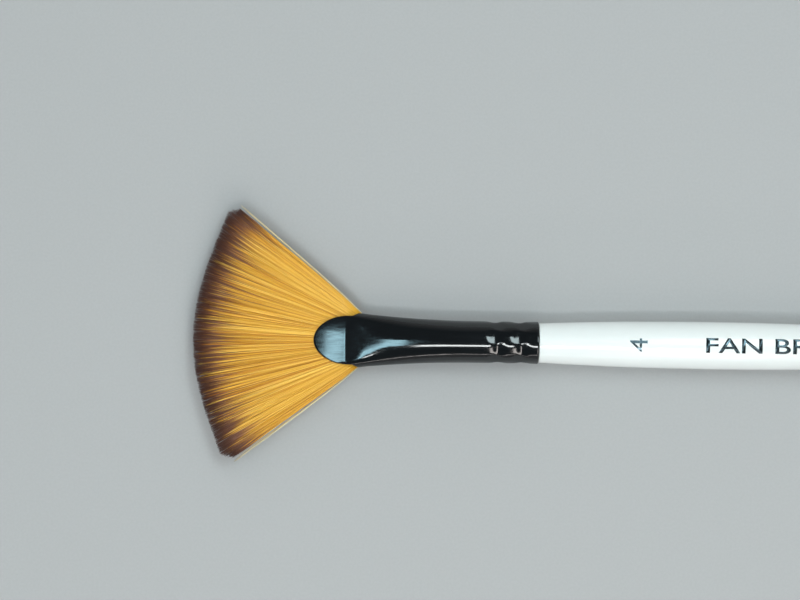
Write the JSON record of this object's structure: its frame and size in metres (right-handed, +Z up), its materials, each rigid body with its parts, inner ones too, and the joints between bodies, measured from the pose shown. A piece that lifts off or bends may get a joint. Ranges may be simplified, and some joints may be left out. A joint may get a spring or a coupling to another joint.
{
  "type": "fan paint brush",
  "caption": "Short-handled fan brush: white lacquered wooden handle, crimped black metal ferrule flattened to two round lips, and a flat fan of gold filaments with brown tips.",
  "frame": {"origin": "middle of the bounding box in X and Y, at the surface the brush lies on, below the lowest line of the handle's belly", "axes": "+X along the brush from the fan to the tail of the handle, +Y across the flat of the fan, +Z up, square to the flat of the fan"},
  "size_m": [0.1814, 0.0396, 0.0074],
  "materials": {
    "handle_lacquered_wood": "opaque white gloss lacquer over turned hardwood",
    "ferrule_black_metal": "deep gloss black coating on a seamless metal tube",
    "root_resin": "amber cast resin, hidden in the ferrule",
    "hair_gold": "golden synthetic filaments, satin",
    "hair_gold_brown_tip": "golden synthetic filaments, satin, dipped dark brown over the last 3 to 4 mm",
    "printed_foil": "dark grey stamped foil: the size number and the words on the handle's lacquer"
  },
  "bodies": {
    "holder": {"handle": "handle_lacquered_wood", "ferrule": "ferrule_black_metal", "resin_plug": "root_resin", "hair_root_01": "hair_gold", "hair_root_02": "hair_gold", "hair_root_03": "hair_gold", "hair_root_04": "hair_gold", "hair_root_05": "hair_gold", "hair_root_06": "hair_gold", "hair_root_07": "hair_gold", "hair_root_08": "hair_gold", "hair_root_09": "hair_gold", "hair_root_10": "hair_gold", "hair_root_11": "hair_gold", "hair_root_12": "hair_gold", "hair_root_13": "hair_gold"},
    "fan": {"hair_tip_01": "hair_gold_brown_tip", "hair_tip_02": "hair_gold_brown_tip", "hair_tip_03": "hair_gold_brown_tip", "hair_tip_04": "hair_gold_brown_tip", "hair_tip_05": "hair_gold_brown_tip", "hair_tip_06": "hair_gold_brown_tip", "hair_tip_07": "hair_gold_brown_tip", "hair_tip_08": "hair_gold_brown_tip", "hair_tip_09": "hair_gold_brown_tip", "hair_tip_10": "hair_gold_brown_tip", "hair_tip_11": "hair_gold_brown_tip", "hair_tip_12": "hair_gold_brown_tip", "hair_tip_13": "hair_gold_brown_tip"}
  },
  "joints": [
    {"name": "fan_flex", "type": "hinge", "parent": "holder", "child": "fan", "pos_m": [-0.07335, 0, 0.00371], "axis": [0, 1, 0], "range_deg": [-40, 40], "stiffness_Nm_per_rad": 0.004}
  ]
}
